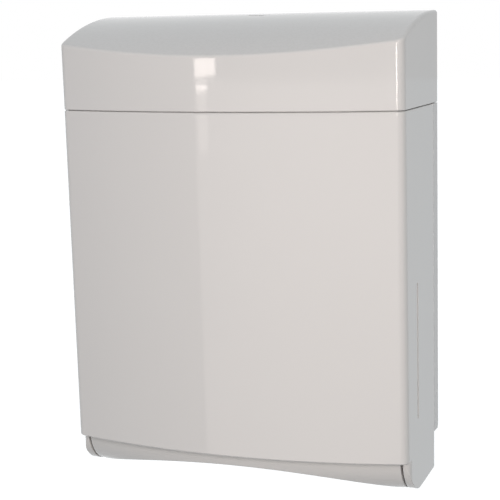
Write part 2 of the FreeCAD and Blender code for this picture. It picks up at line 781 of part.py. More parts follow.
def tray_buffers():
    gap = 0.1
    head_front = -(chin_setback - wall - buffer_clearance)
    head = rod_y(buffer_head_radius, head_front, -gap, 0, 0)
    rim = [edge for edge in head.Edges if edge.BoundBox.YMax < head_front + 0.01]
    head = head.makeFillet(buffer_head_radius * 0.3, rim)
    stem = rod_y(buffer_stem_radius, -gap, buffer_stem_length, 0, 0)
    bead = rod_y(buffer_bead_radius, buffer_stem_length - buffer_bead_length, buffer_stem_length, 0, 0)
    piece = fuse([head, stem, bead])
    return Part.makeCompound([on_chin(side, piece) for side in (-1, 1)])


def towel_guide():
    """Right-hand guide; the left one is its mirror image."""
    reach = guide_reach
    rear_y = -web_front - tray_gap
    plate = box(guide_inner, guide_outer, -reach, rear_y, guide_bottom, guide_top)
    flare = Part.Face(Part.makePolygon([
        Vector(guide_inner, -reach, guide_bottom),
        Vector(guide_outer, -reach, guide_bottom),
        Vector(guide_outer + guide_flare, -reach - guide_flare, guide_bottom),
        Vector(guide_inner + guide_flare, -reach - guide_flare, guide_bottom),
        Vector(guide_inner, -reach, guide_bottom)])).extrude(Vector(0, 0, guide_top - guide_bottom))
    flange = box(guide_inner, guide_outer + guide_flange, rear_y - guide_thickness, rear_y,
                 guide_bottom, guide_top)
    pieces = [plate, flare, flange]
    hook_y = -web_back + tab_clearance
    for z in guide_tab_heights:
        pieces.append(box(guide_inner, guide_outer, rear_y, hook_y + tab_hook_thickness,
                          z - guide_tab_width / 2, z + guide_tab_width / 2))
        pieces.append(box(guide_inner, guide_outer + tab_hook, hook_y, hook_y + tab_hook_thickness,
                          z - guide_tab_width / 2, z + guide_tab_width / 2))
    body = fuse(pieces)
    margin = (guide_slot_width - slot_width) / 2
    window = stadium_x(guide_inner - 1, guide_outer + 1, -slot_depth, slot_bottom - margin, slot_top + margin,
                       guide_slot_width)
    return body.cut(window)


def hinge_pin():
    """Right-hand pin, pushed in from the middle of the case."""
    end = boss_start + bush_length - washer_gap
    pin = rod_x(pin_radius, lug_inner, end, -hinge_depth, hinge_height)
    head = rod_x(pin_head_radius, lug_inner - pin_head_thickness, lug_inner, -hinge_depth, hinge_height)
    tip = [edge for edge in pin.Edges if edge.BoundBox.XMin > end - 0.01]
    pin = pin.makeChamfer(pin_radius * 0.25, tip)
    body = pin.fuse(head).removeSplitter()
    clip_outer = clip_inner + clip_thickness
    ring = rod_x(pin_radius + 1, clip_inner, clip_outer, -hinge_depth, hinge_height)
    core = rod_x(clip_groove_radius, clip_inner - 1, clip_outer + 1, -hinge_depth, hinge_height)
    return body.cut(ring.cut(core))


def retaining_clip(outer, inner, thickness):
    """Open ring along +X at the origin."""
    ring = rod_x(outer, 0, thickness, 0, 0).cut(rod_x(inner, -1, thickness + 1, 0, 0))
    mouth = box(-1, thickness + 1, -inner * 0.9, inner * 0.9, -outer - 1, 0)
    notch_y = outer * 1.2 - (outer - inner) * 0.35
    for side in (-1, 1):
        ring = ring.cut(rod_x(outer * 0.35, -1, thickness + 1, side * notch_y, -outer * 0.2))
    return ring.cut(mouth)


def hinge_clips():
    clip = retaining_clip(clip_radius, clip_groove_radius + fixed_clearance, clip_thickness)
    clip.translate(Vector(clip_inner, -hinge_depth, hinge_height))
    return Part.makeCompound(both_sides(clip))


def hinge_bush():
    """Right-hand flanged bush, pressed into the door's boss."""
    sleeve = rod_x(bush_radius, boss_start, boss_start + bush_length, -hinge_depth, hinge_height)
    flange = rod_x(bush_flange_radius, bush_start, boss_start, -hinge_depth, hinge_height)
    body = sleeve.fuse(flange).removeSplitter()
    bore = rod_x(pin_radius + running_clearance, bush_start - 1, boss_start + bush_length + 1,
                 -hinge_depth, hinge_height)
    return body.cut(bore)


def catch_plate():
    """Steel angle on the door: a leg on the bosses and a shelf with the slot for the latch's nose."""
    leg_front = catch_leg_front()
    leg_back = leg_front + catch_thickness
    leg = box(-catch_half_width, catch_half_width, leg_front, leg_back,
              catch_shelf_top - catch_leg_height, catch_shelf_top)
    shelf_end = leg_back + catch_leg_clear + catch_slot_length + catch_bar
    shelf = box(-catch_half_width, catch_half_width, leg_front, shelf_end,
                catch_shelf_top - catch_thickness, catch_shelf_top)
    body = leg.fuse(shelf).removeSplitter()
    bend = [edge for edge in body.Edges
            if edge.BoundBox.XLength > width / 20 and edge.BoundBox.YMax < leg_front + 0.01
            and edge.BoundBox.ZMin > catch_shelf_top - 0.01]
    body = body.makeFillet(catch_thickness, bend)
    ends = [edge for edge in body.Edges
            if edge.BoundBox.ZLength > catch_thickness * 0.9 and edge.BoundBox.YMin > shelf_end - 0.01]
    body = body.makeFillet(catch_bar * 0.6, ends)
    slot_start = leg_back + catch_leg_clear
    slot = box(-catch_slot_half_width, catch_slot_half_width, slot_start, slot_start + catch_slot_length,
               catch_shelf_top - catch_thickness - 1, catch_shelf_top + 1)
    body = body.cut(slot)
    for side in (-1, 1):
        hole = rod_y(screw_shank_radius + screw_hole_clearance, leg_front - 1, leg_back + 1,
                     side * catch_screw_x, catch_shelf_top - catch_screw_drop)
        body = body.cut(hole)
    return body


def catch_bar_front():
    """Y of the face of the catch's bar that the latch's nose holds."""
    return catch_leg_front() + catch_thickness + catch_leg_clear + catch_slot_length


def latch_lever():
    """Rocker: nose in the catch at the front, pad under the key slot at the rear."""
    nose_back = catch_bar_front() - latch_gap
    nose_front = nose_back - nose_thickness
    nose_bottom = catch_shelf_top - nose_bite
    arm_bottom = max(catch_shelf_top, bracket_bottom + bracket_thickness) + latch_gap
    arm_top = arm_bottom + lever_arm_height
    pivot_y = -latch_pivot_depth
    pivot_z = latch_pivot_height
    front_arm = prism_x(
        [(nose_front, arm_top - lever_bevel), (nose_front, nose_bottom + nose_thickness * 0.7),
         (nose_front + nose_thickness * 0.6, nose_bottom), (nose_back, nose_bottom), (nose_back, arm_bottom),
         (pivot_y, arm_bottom), (pivot_y, arm_top), (nose_back, arm_top)],
        -lever_width / 2, lever_width / 2)
    pad_y = -key_slot_depth
    seat_front = -spring_depth - spring_radius - spring_seat_margin
    seat_rear = -spring_depth + spring_radius + spring_seat_margin
    pad_bottom = pad_height - pad_thickness
    hub_drop = lever_hub_radius * 0.6
    rear_arm = prism_x(
        [(pivot_y - lever_bevel, pivot_z + hub_drop), (pivot_y + lever_neck, pivot_z - hub_drop),
         (seat_front, spring_top), (seat_rear, spring_top),
         (seat_rear + lever_bevel, spring_top + pad_thickness),
         (pad_y + lever_neck, pad_bottom), (pad_y - lever_neck, pad_bottom)],
        -lever_width / 2, lever_width / 2)
    pad = box(-pad_width / 2, pad_width / 2, pad_y - pad_length / 2, pad_y + pad_length / 2,
              pad_bottom, pad_height)
    upright = [edge for edge in pad.Edges if edge.BoundBox.ZLength > pad_thickness * 0.9]
    pad = pad.makeFillet(pad_thickness, upright)
    hub = rod_x(lever_hub_radius, -lever_width / 2, lever_width / 2, pivot_y, pivot_z)
    peg = rod_z(spring_peg_radius, spring_top - spring_peg_length, spring_top, 0, -spring_depth)
    body = fuse([front_arm, rear_arm, pad, hub, peg])
    bore = rod_x(latch_pin_radius + running_clearance, -lever_width, lever_width, pivot_y, pivot_z)
    return body.cut(bore)


def latch_bracket():
    """Bent steel bracket on the back plate that carries the lever and its spring."""
    inner = lever_width / 2 + bracket_side_gap
    outer = inner + bracket_thickness
    front = -latch_pivot_depth - bracket_nose
    rear = -boss_front
    floor = box(-outer, outer, front, rear, bracket_bottom, bracket_bottom + bracket_thickness)
    side = prism_x(
        [(front, bracket_bottom), (rear, bracket_bottom), (rear, bracket_top),
         (rear - bracket_shoulder, bracket_top), (-latch_pivot_depth, latch_pivot_height + bracket_ear),
         (front, latch_pivot_height + bracket_ear_front)],
        inner, outer)
    flange = box(-bracket_flange_width / 2, bracket_flange_width / 2, rear - bracket_thickness, rear,
                 bracket_bottom, bracket_top)
    body = fuse([floor, flange] + both_sides(side))
    corners = [edge for edge in body.Edges
               if abs(edge.BoundBox.YLength - bracket_thickness) < bracket_thickness * 0.1
               and abs(edge.BoundBox.Center.x) > bracket_flange_width / 2 - 0.01]
    body = body.makeFillet(bracket_corner, corners)
    seat_peg = rod_z(spring_peg_radius, spring_bottom - bracket_thickness / 2,
                     spring_bottom + spring_peg_length, 0, -spring_depth)
    body = body.fuse(seat_peg).removeSplitter()
    pivot = rod_x(latch_pin_radius + fixed_clearance, -outer - 1, outer + 1,
                  -latch_pivot_depth, latch_pivot_height)
    body = body.cut(pivot)
    for x, z in bracket_screw_places():
        body = body.cut(rod_y(screw_shank_radius + screw_hole_clearance,
                              rear - bracket_thickness - 1, rear + 1, x, z))
    return body


def latch_pin():
    outer = lever_width / 2 + bracket_side_gap + bracket_thickness
    end = outer + latch_clip_thickness + latch_pin_tail
    pin = rod_x(latch_pin_radius, -outer, end, -latch_pivot_depth, latch_pivot_height)
    head = rod_x(latch_pin_head_radius, -outer - latch_pin_head_thickness, -outer,
                 -latch_pivot_depth, latch_pivot_height)
    body = pin.fuse(head).removeSplitter()
    start = outer + clip_gap
    groove = rod_x(latch_pin_radius + 1, start, start + latch_clip_thickness, -latch_pivot_depth,
                   latch_pivot_height)
    core = rod_x(latch_groove_radius, start - 1, start + latch_clip_thickness + 1, -latch_pivot_depth,
                 latch_pivot_height)
    return body.cut(groove.cut(core))


def latch_pin_clip():
    outer = lever_width / 2 + bracket_side_gap + bracket_thickness
    clip = retaining_clip(latch_clip_radius, latch_groove_radius + fixed_clearance, latch_clip_thickness)
    clip.translate(Vector(outer + clip_gap, -latch_pivot_depth, latch_pivot_height))
    return clip


def latch_spring():
    """Compression spring with closed flat ends, standing between bracket and lever."""
    wire = spring_wire_radius
    bottom = spring_bottom + wire + spring_end_gap
    top = spring_top - wire - spring_end_gap
    pitch = (top - bottom) / spring_turns
    helix = Part.makeHelix(pitch, top - bottom, spring_radius)
    helix.translate(Vector(0, -spring_depth, bottom))
    profile = Part.Wire(Part.makeCircle(wire, Vector(spring_radius, -spring_depth, bottom), Y_AXIS))
    return Part.Wire(helix.Edges).makePipeShell([profile], True, True)


def hood_screws():
    seat = -boss_front - hood_flange_thickness
    return Part.makeCompound([screw_at(x, seat, z, screw_length) for x, z in hood_screw_places()])


def tray_screws():
    seat = -web_front - tray_gap - tray_wall
    places = [(side * x, tray_screw_height) for side in (-1, 1) for x in tray_screw_x]
    return Part.makeCompound([screw_at(x, seat, z, plate_screw_length) for x, z in places])


def bracket_screws():
    seat = -boss_front - bracket_thickness
    return Part.makeCompound([screw_at(x, seat, z, screw_length) for x, z in bracket_screw_places()])


def catch_screws():
    seat = catch_leg_front() + catch_thickness
    z = catch_shelf_top - catch_screw_drop
    screws = [front_screw_at(side * catch_screw_x, seat, z, plate_screw_length) for side in (-1, 1)]
    return Part.makeCompound(screws)


def export(name, shape):
    placed = shape.copy()
    placed.translate(Vector(0, 0, -wall_screw_centre))
    placed.exportStep("parts/" + name + ".step")


def main():
    os.makedirs("parts", exist_ok=True)
    right_guide = towel_guide()
    right_pin = hinge_pin()
    right_bush = hinge_bush()
    pieces = {
        "back_plate": back_plate(),
        "hood": hood(),
        "hood_screws": hood_screws(),
        "towel_tray": towel_tray(),
        "tray_screws": tray_screws(),
        "tray_buffers": tray_buffers(),
        "right_towel_guide": right_guide,
        "left_towel_guide": mirrored(right_guide),
        "right_hinge_pin": right_pin,
        "left_hinge_pin": mirrored(right_pin),
        "hinge_clips": hinge_clips(),
        "latch_bracket": latch_bracket(),
        "latch_bracket_screws": bracket_screws(),
        "latch_pivot_pin": latch_pin(),
        "latch_pin_clip": latch_pin_clip(),
        "latch_spring": latch_spring(),
        "latch_lever": latch_lever(),
        "door": door(),
        "right_hinge_bush": right_bush,
        "left_hinge_bush": mirrored(right_bush),
        "catch_plate": catch_plate(),
        "catch_screws": catch_screws(),
    }
    for name, shape in pieces.items():
        export(name, shape)
        sound = shape.isValid() and shape.Volume > 0
        print(name, len(shape.Solids), "solid(s)", round(shape.Volume), "mm3", "ok" if sound else "NOT SOUND")


main()
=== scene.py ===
"""Finishes, lamps, floor and camera for the wall-mounted folded-towel dispenser."""

import math

import bpy
from mathutils import Matrix, Vector


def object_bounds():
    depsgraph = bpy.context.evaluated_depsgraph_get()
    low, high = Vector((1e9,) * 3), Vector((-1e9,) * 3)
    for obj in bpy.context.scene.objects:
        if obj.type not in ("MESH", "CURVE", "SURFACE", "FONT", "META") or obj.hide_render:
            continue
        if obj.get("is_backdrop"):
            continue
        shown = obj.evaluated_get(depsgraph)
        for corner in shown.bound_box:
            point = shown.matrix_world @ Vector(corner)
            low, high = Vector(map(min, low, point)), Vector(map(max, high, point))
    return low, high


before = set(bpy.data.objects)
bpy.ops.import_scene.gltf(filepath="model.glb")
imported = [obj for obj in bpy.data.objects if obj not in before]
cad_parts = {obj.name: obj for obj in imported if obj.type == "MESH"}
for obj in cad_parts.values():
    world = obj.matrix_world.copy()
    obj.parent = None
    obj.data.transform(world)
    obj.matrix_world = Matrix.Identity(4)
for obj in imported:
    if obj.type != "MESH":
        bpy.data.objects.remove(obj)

bl_info = {
    "name": "Towel dispenser looks",
    "version": (1, 0, 0),
    "blender": (4, 5, 0),
    "location": "View3D > Sidebar > Dispenser",
    "description": "Moulded plastic, steel and rubber finishes for a folded-towel dispenser, with its studio",
    "category": "Material",
}

MM = 0.001
CASE_NODES = ("door", "hood", "towel_tray")
GUIDE_NODES = ("right_towel_guide", "left_towel_guide")
BUSH_NODES = ("right_hinge_bush", "left_hinge_bush")
SHEET_NODES = ("latch_bracket", "catch_plate")
PIN_NODES = ("right_hinge_pin", "left_hinge_pin", "latch_pivot_pin")
CLIP_NODES = ("hinge_clips", "latch_pin_clip")
SCREW_NODES = ("hood_screws", "tray_screws", "latch_bracket_screws", "catch_screws")
COLOUR_CHANNELS = 3
MIX_FACTOR, MIX_FIRST, MIX_SECOND = 0, 6, 7     # inputs of a colour mix
MIX_RESULT = 2                                  # and its output
PLASTIC_IOR = 1.5
RUBBER_IOR = 1.45
GLOSS_UNEVENNESS = 0.15                         # change of the roughness, as a share of it
PAINTED_EDGE_SHEEN_LIFT = 1.05                                # painted sheen: the edges of plastic are painted this much lighter
METAL_MARK_DEPTH = 0.22                         # roughness that the fine marks add or take
DUST_COLOUR = (0.60, 0.585, 0.555, 1.0)
RUBBED_METAL = (0.78, 0.78, 0.78, 1.0)


# ---------------------------------------------------------------- settings

def colour_property(name, description, default):
    return bpy.props.FloatVectorProperty(
        name=name, description=description, default=default, size=3, min=0.0, max=1.0, subtype="COLOR"
    )


def share_property(name, description, default):
    return bpy.props.FloatProperty(
        name=name, description=description, default=default, min=0.0, max=1.0, subtype="FACTOR"
    )


def length_property(name, description, default):
    return bpy.props.FloatProperty(
        name=name, description=description, default=default, min=0.0, subtype="DISTANCE", unit="LENGTH"
    )


class CaseSettings(bpy.types.PropertyGroup):
    case_colour: colour_property("Case", "Colour of the door, hood and tray", (0.745, 0.728, 0.710))
    plate_colour: colour_property("Back plate", "Colour of the back plate", (0.72, 0.712, 0.70))
    gloss_roughness: share_property("Case roughness", "Roughness of the polished moulding", 0.045)
    edge_radius: length_property("Edge softness", "Radius that the sharp edges catch light with", 0.9 * MM)
    dust: share_property("Dust", "Share of fine dust on faces that look upwards", 0.25)


class InnerSettings(bpy.types.PropertyGroup):
    guide_colour: colour_property("Towel guides", "Colour of the two towel guides", (0.66, 0.66, 0.65))
    bush_colour: colour_property("Hinge bushes", "Colour of the hinge bushes", (0.82, 0.81, 0.78))
    lever_colour: colour_property("Latch lever", "Colour of the latch lever", (0.030, 0.030, 0.033))
    rubber_colour: colour_property("Buffers", "Colour of the rubber buffers", (0.055, 0.055, 0.058))


class MetalSettings(bpy.types.PropertyGroup):
    zinc_colour: colour_property("Zinc", "Colour of the plated sheet and screws", (0.60, 0.61, 0.63))
    pin_colour: colour_property("Pins", "Colour of the ground hinge and latch pins", (0.64, 0.64, 0.65))
    spring_colour: colour_property("Spring", "Colour of the spring and the clips", (0.42, 0.42, 0.44))


def power_property(name, description, default):
    return bpy.props.FloatProperty(name=name, description=description, default=default, min=0.0, unit="POWER")


class StudioSettings(bpy.types.PropertyGroup):
    world_fill: share_property("Fill", "Strength of the even light from all round", 0.355)
    key_power: power_property("Key lamp", "Power of the lamp at the right of the camera", 4.07)
    panel_power: power_property("Tall panel", "Power of the tall panel that the whole front mirrors", 3.08)
    soft_power: power_property(
        "Soft light", "Power of the soft light in front, which no surface mirrors", 1.9
    )
    window_power: power_property("Window", "Power of the small bright window", 0.129)
    sill_power: power_property("Window sill", "Power of the low bright strip below the window", 0.020)
    glow_power: power_property("Window glow", "Power of the dim column below the window", 0.031)
    floor_drop: length_property("Floor drop", "Height of the dispenser's lowest point above the floor", 1.2)


# ---------------------------------------------------------------- shader groups

def add_node(tree, kind, **inputs):
    node = tree.nodes.new(kind)
    for name, value in inputs.items():
        node.inputs[name.replace("_", " ")].default_value = value
    return node


def new_group(name, inputs, outputs):
    """A shader node group with its sockets; returns (group, input node, output node)."""
    group = bpy.data.node_groups.new(name, "ShaderNodeTree")
    for socket, kind, default in inputs:
        made = group.interface.new_socket(name=socket, in_out="INPUT", socket_type=kind)
        made.default_value = default
    for socket, kind in outputs:
        group.interface.new_socket(name=socket, in_out="OUTPUT", socket_type=kind)
    return group, group.nodes.new("NodeGroupInput"), group.nodes.new("NodeGroupOutput")


def math_node(tree, operation, first, second):
    """first and second are sockets or numbers."""
    node = tree.nodes.new("ShaderNodeMath")
    node.operation = operation
    for index, value in enumerate((first, second)):
        if isinstance(value, (int, float)):
            node.inputs[index].default_value = value
        else:
            tree.links.new(value, node.inputs[index])
    return node.outputs[0]


def mix_colour(tree, factor, first, second, blend="MIX"):
    node = tree.nodes.new("ShaderNodeMix")
    node.data_type = "RGBA"
    node.blend_type = blend
    for index, value in ((MIX_FACTOR, factor), (MIX_FIRST, first), (MIX_SECOND, second)):
        socket = node.inputs[index]
        if isinstance(value, bpy.types.NodeSocket):
            tree.links.new(value, socket)
        else:
            socket.default_value = value
    return node.outputs[MIX_RESULT]


def noise_at(tree, place, scale, detail=2.0, roughness=0.5):
    """scale is a socket or a number."""
    node = add_node(tree, "ShaderNodeTexNoise", Detail=detail, Roughness=roughness)
    if isinstance(scale, bpy.types.NodeSocket):
        tree.links.new(scale, node.inputs["Scale"])
    else:
        node.inputs["Scale"].default_value = scale
    tree.links.new(place, node.inputs["Vector"])
    return node.outputs["Fac"]


def grey(tree, level):
    """level as a colour."""
    shade = tree.nodes.new("ShaderNodeCombineColor")
    for channel in shade.inputs[:COLOUR_CHANNELS]:
        tree.links.new(level, channel)
    return shade.outputs[0]


def add_bump(tree, shader, height, strength, distance, soft_normal=None):
    """distance is in metres."""
    bump = add_node(tree, "ShaderNodeBump", Strength=strength, Distance=distance)
    tree.links.new(height, bump.inputs["Height"])
    if soft_normal:
        tree.links.new(soft_normal, bump.inputs["Normal"])
    tree.links.new(bump.outputs["Normal"], shader.inputs["Normal"])


def remap(tree, value, from_low, from_high, to_low, to_high):
    node = tree.nodes.new("ShaderNodeMapRange")
    tree.links.new(value, node.inputs["Value"])
    for name, number in (
        ("From Min", from_low), ("From Max", from_high), ("To Min", to_low), ("To Max", to_high)
    ):
        node.inputs[name].default_value = number
    return node.outputs["Result"]


def object_place(tree):
    return tree.nodes.new("ShaderNodeTexCoord").outputs["Object"]


def moulded_surface_group():
    """Uneven tone, ripple and fine texture of an injection-moulded surface."""
    tree, given, out = new_group(
        "moulded_surface",
        [
            ("Color", "NodeSocketColor", (0.8, 0.8, 0.8, 1.0)),
            ("Tone Change", "NodeSocketFloat", 0.03),
            ("Base Roughness", "NodeSocketFloat", 0.2),
            ("Roughness Change", "NodeSocketFloat", 0.05),
            ("Ripple Scale", "NodeSocketFloat", 30.0),
            ("Grain Scale", "NodeSocketFloat", 1500.0),
            ("Grain Share", "NodeSocketFloat", 0.2),
        ],
        [("Color", "NodeSocketColor"), ("Roughness", "NodeSocketFloat"), ("Height", "NodeSocketFloat")],
    )
    place = object_place(tree)
    clouds = noise_at(tree, place, 9.0, 3.0)
    flow = noise_at(tree, place, given.outputs["Ripple Scale"])
    grain = noise_at(tree, place, given.outputs["Grain Scale"], 1.0)
    centred = math_node(tree, "SUBTRACT", clouds, 0.5)
    shift = math_node(tree, "MULTIPLY", centred, given.outputs["Tone Change"])
    level = grey(tree, math_node(tree, "ADD", shift, 1.0))
    tinted = mix_colour(tree, 1.0, given.outputs["Color"], level, "MULTIPLY")
    tree.links.new(tinted, out.inputs["Color"])
    rough_shift = math_node(tree, "MULTIPLY", centred, given.outputs["Roughness Change"])
    uneven = math_node(tree, "ADD", rough_shift, given.outputs["Base Roughness"])
    tree.links.new(uneven, out.inputs["Roughness"])
    grain_height = math_node(tree, "MULTIPLY", grain, given.outputs["Grain Share"])
    tree.links.new(math_node(tree, "ADD", flow, grain_height), out.inputs["Height"])
    return tree


def dust_group():
    """Mask of fine dust that lies on faces which look upwards, and its colour."""
    tree, given, out = new_group(
        "settled_dust",
        [("Color", "NodeSocketColor", (0.8, 0.8, 0.8, 1.0)), ("Amount", "NodeSocketFloat", 0.2)],
        [("Color", "NodeSocketColor"), ("Mask", "NodeSocketFloat")],
    )
    geometry = tree.nodes.new("ShaderNodeNewGeometry")
    split = tree.nodes.new("ShaderNodeSeparateXYZ")
    tree.links.new(geometry.outputs["True Normal"], split.inputs[0])
    upward = remap(tree, split.outputs["Z"], 0.35, 0.95, 0.0, 1.0)
    specks = remap(tree, noise_at(tree, object_place(tree), 420.0, 4.0, 0.7), 0.42, 0.68, 0.0, 1.0)
    mask = math_node(tree, "MULTIPLY", math_node(tree, "MULTIPLY", upward, specks), given.outputs["Amount"])
    dusty = mix_colour(tree, mask, given.outputs["Color"], DUST_COLOUR)
    tree.links.new(dusty, out.inputs["Color"])
    tree.links.new(mask, out.inputs["Mask"])
    return tree


def edge_rub_and_sheen_group():
    """Mask of the sharp edges, from the angle between soft and true normals: plastic is painted lighter there
    as a painted sheen, metal shows plating rubbed off by hands and cloths.
    """
    tree, given, out = new_group(
        "edge_rub",
        [("Radius", "NodeSocketFloat", 0.0004), ("Strength", "NodeSocketFloat", 1.0)],
        [("Mask", "NodeSocketFloat"), ("Soft Normal", "NodeSocketVector")],
    )
    bevel = tree.nodes.new("ShaderNodeBevel")
    bevel.samples = 6
    tree.links.new(given.outputs["Radius"], bevel.inputs["Radius"])
    geometry = tree.nodes.new("ShaderNodeNewGeometry")
    dot = tree.nodes.new("ShaderNodeVectorMath")
    dot.operation = "DOT_PRODUCT"
    tree.links.new(bevel.outputs["Normal"], dot.inputs[0])
    tree.links.new(geometry.outputs["Normal"], dot.inputs[1])
    turned = math_node(tree, "SUBTRACT", 1.0, dot.outputs["Value"])
    sharp = remap(tree, turned, 0.02, 0.30, 0.0, 1.0)
    tree.links.new(math_node(tree, "MULTIPLY", sharp, given.outputs["Strength"]), out.inputs["Mask"])
    tree.links.new(bevel.outputs["Normal"], out.inputs["Soft Normal"])
    return tree


def metal_grain_group():
    """Long fine marks of rolling, drawing or turning along one axis, and blotches of the plating."""
    tree, given, out = new_group(
        "metal_grain",
        [
            ("Color", "NodeSocketColor", (0.6, 0.6, 0.6, 1.0)),
            ("Stretch", "NodeSocketVector", (1.0, 1.0, 1.0)),
            ("Grain Scale", "NodeSocketFloat", 900.0),
            ("Base Roughness", "NodeSocketFloat", 0.3),
            ("Blotch", "NodeSocketFloat", 0.15),
        ],
        [("Color", "NodeSocketColor"), ("Roughness", "NodeSocketFloat"), ("Height", "NodeSocketFloat")],
    )
    place = object_place(tree)
    stretched = tree.nodes.new("ShaderNodeVectorMath")
    stretched.operation = "MULTIPLY"
    tree.links.new(place, stretched.inputs[0])
    tree.links.new(given.outputs["Stretch"], stretched.inputs[1])
    marks = noise_at(tree, stretched.outputs[0], given.outputs["Grain Scale"], 3.0)
    blotches = noise_at(tree, place, 260.0, 3.0)
    centred = math_node(tree, "SUBTRACT", blotches, 0.5)
    shift = math_node(tree, "MULTIPLY", centred, given.outputs["Blotch"])
    level = grey(tree, math_node(tree, "ADD", shift, 1.0))
    tinted = mix_colour(tree, 1.0, given.outputs["Color"], level, "MULTIPLY")
    tree.links.new(tinted, out.inputs["Color"])
    marked = math_node(tree, "MULTIPLY", math_node(tree, "SUBTRACT", marks, 0.5), METAL_MARK_DEPTH)
    tree.links.new(math_node(tree, "ADD", marked, given.outputs["Base Roughness"]), out.inputs["Roughness"])
    tree.links.new(marks, out.inputs["Height"])
    return tree


GROUP_MAKERS = {
    "moulded_surface": moulded_surface_group,
    "settled_dust": dust_group,
    "edge_rub": edge_rub_and_sheen_group,
    "metal_grain": metal_grain_group,
}


def placed_group(tree, name, **values):
    """The named group as a node in tree, built the first time it is asked for."""
    group = bpy.data.node_groups.get(name) or GROUP_MAKERS[name]()
    node = tree.nodes.new("ShaderNodeGroup")
    node.node_tree = group
    for socket, value in values.items():
        node.inputs[socket.replace("_", " ")].default_value = value
    return node


# ---------------------------------------------------------------- materials

def new_material(name, ior=PLASTIC_IOR):
    material = bpy.data.materials.new(name)
    material.use_nodes = True
    tree = material.node_tree
    shader = tree.nodes["Principled BSDF"]
    shader.inputs["IOR"].default_value = ior
    return material, tree, shader


def opaque(colour):
    return (colour[0], colour[1], colour[2], 1.0)


def moulded_plastic(
    name, colour, roughness, ripple, ripple_scale, grain_share, tone_change, dust, edge_radius
):
    """Injection-moulded plastic: ripple height is in metres."""
    material, tree, shader = new_material(name)
    surface = placed_group(
        tree, "moulded_surface", Color=opaque(colour), Tone_Change=tone_change, Base_Roughness=roughness,
        Roughness_Change=roughness * GLOSS_UNEVENNESS, Ripple_Scale=ripple_scale, Grain_Share=grain_share,
    )
    settled = placed_group(tree, "settled_dust", Amount=dust)
    edge = placed_group(tree, "edge_rub", Radius=edge_radius, Strength=0.35)
    tree.links.new(surface.outputs["Color"], settled.inputs["Color"])
    # painted sheen: the plastic is painted lighter along its edges, in place of the light they catch
    painted_sheen_colour = opaque([min(1.0, channel * PAINTED_EDGE_SHEEN_LIFT) for channel in colour])
    edge_toned_colour = mix_colour(tree, edge.outputs["Mask"], settled.outputs["Color"], painted_sheen_colour)
    tree.links.new(edge_toned_colour, shader.inputs["Base Color"])
    dusted = math_node(tree, "MULTIPLY", settled.outputs["Mask"], 0.5)
    tree.links.new(math_node(tree, "ADD", surface.outputs["Roughness"], dusted), shader.inputs["Roughness"])
    add_bump(tree, shader, surface.outputs["Height"], 1.0, ripple, edge.outputs["Soft Normal"])
    return material


def plated_metal(name, colour, roughness, stretch, blotch, edge_radius):
    material, tree, shader = new_material(name)
    shader.inputs["Metallic"].default_value = 1.0
    grain = placed_group(
        tree, "metal_grain", Color=opaque(colour), Stretch=stretch, Base_Roughness=roughness, Blotch=blotch
    )
    edge = placed_group(tree, "edge_rub", Radius=edge_radius, Strength=0.5)
    edge_toned_colour = mix_colour(tree, edge.outputs["Mask"], grain.outputs["Color"], RUBBED_METAL)
    tree.links.new(edge_toned_colour, shader.inputs["Base Color"])
    tree.links.new(grain.outputs["Roughness"], shader.inputs["Roughness"])
    add_bump(tree, shader, grain.outputs["Height"], 0.35, 0.02 * MM, edge.outputs["Soft Normal"])
    return material


def rubber(name, colour):
    material, tree, shader = new_material(name, RUBBER_IOR)
    surface = placed_group(
        tree, "moulded_surface", Color=opaque(colour), Tone_Change=0.3, Base_Roughness=0.72,
        Roughness_Change=0.15, Ripple_Scale=400.0, Grain_Scale=4000.0, Grain_Share=0.8,
    )
    settled = placed_group(tree, "settled_dust", Amount=0.5)
    tree.links.new(surface.outputs["Color"], settled.inputs["Color"])
    tree.links.new(settled.outputs["Color"], shader.inputs["Base Color"])
    tree.links.new(surface.outputs["Roughness"], shader.inputs["Roughness"])
    add_bump(tree, shader, surface.outputs["Height"], 0.6, 0.03 * MM)
    return material


def finish_nodes(names, material):
    for name in names:
        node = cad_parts[name]
        for place in node.material_slots:
            place.material = material
        if not node.material_slots:
            node.data.materials.append(material)


# ---------------------------------------------------------------- operators

class FinishCase(bpy.types.Operator):
    """Gives the door, hood, tray and back plate their moulded plastic"""

    bl_idname = "dispenser.finish_case"
    bl_label = "Case plastic"

    def execute(self, context):
        settings = context.scene.dispenser_case
        case = moulded_plastic(
            "case_glossy_plastic", settings.case_colour, roughness=settings.gloss_roughness,
            ripple=0.02 * MM, ripple_scale=26.0, grain_share=0.0, tone_change=0.03,
            dust=settings.dust, edge_radius=settings.edge_radius,
        )
        plate = moulded_plastic(
            "back_plate_plastic", settings.plate_colour, roughness=0.28,
            ripple=0.015 * MM, ripple_scale=60.0, grain_share=0.35, tone_change=0.04,
            dust=settings.dust, edge_radius=settings.edge_radius,
        )
        finish_nodes(CASE_NODES, case)
        finish_nodes(("back_plate",), plate)
        return {"FINISHED"}


